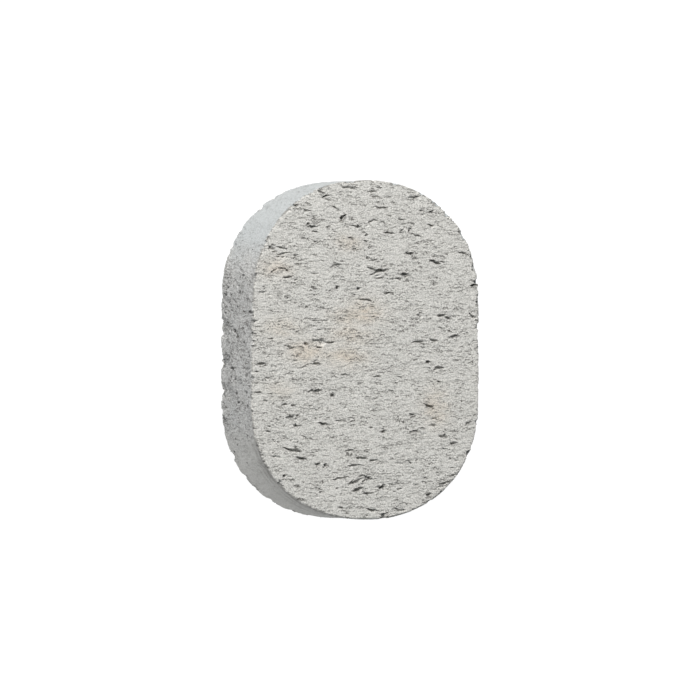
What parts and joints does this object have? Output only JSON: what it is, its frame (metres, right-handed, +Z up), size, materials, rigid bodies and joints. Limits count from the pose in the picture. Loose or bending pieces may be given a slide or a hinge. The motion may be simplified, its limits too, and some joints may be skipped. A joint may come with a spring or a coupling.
{
  "type": "pumice stone",
  "caption": "Long oval block of pale grey pumice with flat front and back faces, a straight side wall and gas holes drawn out in one direction.",
  "frame": {"origin": "middle of the flat back face that the stone lies on", "axes": "+X across the stone, along the drawn-out gas holes; +Y along its length; +Z up through its thickness, out of the front face"},
  "size_m": [0.0681, 0.0948, 0.025],
  "materials": {
    "pumice": "matte, rough and full of small holes"
  },
  "bodies": {
    "root": {"pumice_stone": "pumice"}
  },
  "joints": []
}
